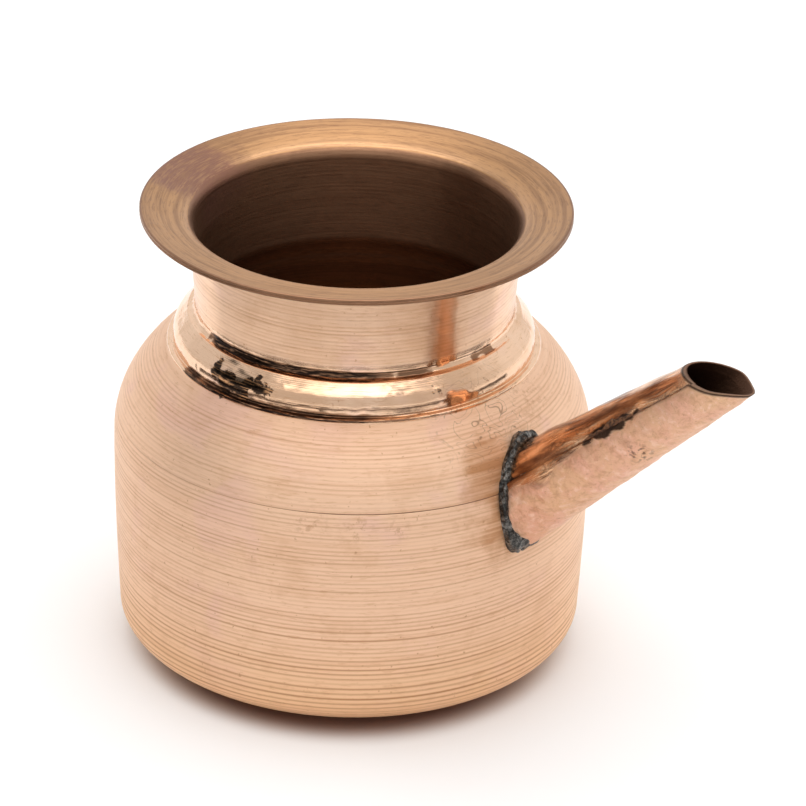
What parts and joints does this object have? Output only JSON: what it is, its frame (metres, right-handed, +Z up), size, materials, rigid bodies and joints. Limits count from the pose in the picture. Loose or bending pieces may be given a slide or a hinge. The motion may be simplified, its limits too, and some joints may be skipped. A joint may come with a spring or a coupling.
{
  "type": "spouted water pot",
  "caption": "Round copper water pot with a flat base, a wide flared rim over a short neck, and a straight tapered spout soldered to its belly.",
  "frame": {"origin": "centre of the flat underside that the pot stands on", "axes": "+Z up along the pot's axis; +X towards the spout"},
  "size_m": [0.1547, 0.1014, 0.1003],
  "materials": {
    "turned_copper": "pale copper with fine turned ridges, satin",
    "brushed_copper": "copper with fine lathe rings, satin to bright, browned inside",
    "braze": "brazing metal dressed flush",
    "pickled_copper": "pink copper, matt and pitted from the acid bath, with heat tint",
    "seam_oxide": "dark oxidised filler, rough",
    "solder": "dark grey solder, lumpy"
  },
  "bodies": {
    "root": {"lower_bowl": "turned_copper", "upper_shell": "brushed_copper", "body_seam_braze": "braze", "spout_tube": "pickled_copper", "spout_seam_solder": "seam_oxide", "spout_joint_solder": "solder"}
  },
  "joints": []
}
